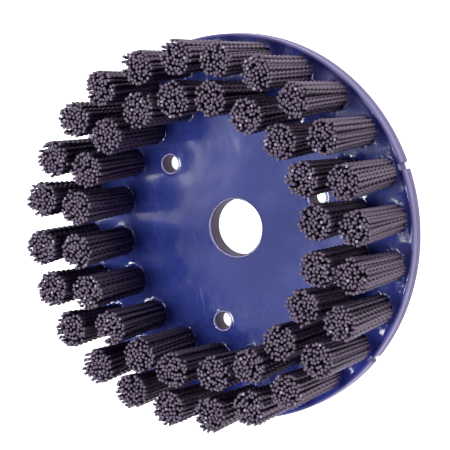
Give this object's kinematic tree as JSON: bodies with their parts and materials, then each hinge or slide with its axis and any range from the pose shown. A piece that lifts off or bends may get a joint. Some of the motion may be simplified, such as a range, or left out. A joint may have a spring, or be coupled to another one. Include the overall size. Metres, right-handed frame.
{
  "type": "disc brush",
  "caption": "Flat disc brush with round crimped-filament tufts on one face, a centre bore, drive-pin holes and small rim notches.",
  "frame": {"origin": "centre of the bore on the flat back face", "axes": "+Z along the spindle axis, out of the bristle side; +X runs through an outer and an inner tuft; one drive-pin hole lies on +Y"},
  "size_m": [0.1524, 0.1524, 0.0423],
  "materials": {
    "core": "drilled and turned filled composite, warm grey-brown, matt",
    "casting": "cast blue resin, glossy and slightly wavy",
    "filament": "abrasive-filled nylon, mauve-grey, low sheen, rough"
  },
  "bodies": {
    "root": {"core_plate": "core", "face_casting": "casting", "outer_tuft_01": "filament", "outer_tuft_02": "filament", "outer_tuft_03": "filament", "outer_tuft_04": "filament", "outer_tuft_05": "filament", "outer_tuft_06": "filament", "outer_tuft_07": "filament", "outer_tuft_08": "filament", "outer_tuft_09": "filament", "outer_tuft_10": "filament", "outer_tuft_11": "filament", "outer_tuft_12": "filament", "outer_tuft_13": "filament", "outer_tuft_14": "filament", "outer_tuft_15": "filament", "outer_tuft_16": "filament", "outer_tuft_17": "filament", "outer_tuft_18": "filament", "outer_tuft_19": "filament", "outer_tuft_20": "filament", "outer_tuft_21": "filament", "outer_tuft_22": "filament", "outer_tuft_23": "filament", "outer_tuft_24": "filament", "inner_tuft_01": "filament", "inner_tuft_02": "filament", "inner_tuft_03": "filament", "inner_tuft_04": "filament", "inner_tuft_05": "filament", "inner_tuft_06": "filament", "inner_tuft_07": "filament", "inner_tuft_08": "filament", "inner_tuft_09": "filament", "inner_tuft_10": "filament", "inner_tuft_11": "filament", "inner_tuft_12": "filament", "inner_tuft_13": "filament", "inner_tuft_14": "filament", "inner_tuft_15": "filament", "inner_tuft_16": "filament", "inner_tuft_17": "filament", "inner_tuft_18": "filament", "inner_tuft_19": "filament", "inner_tuft_20": "filament"}
  },
  "joints": []
}
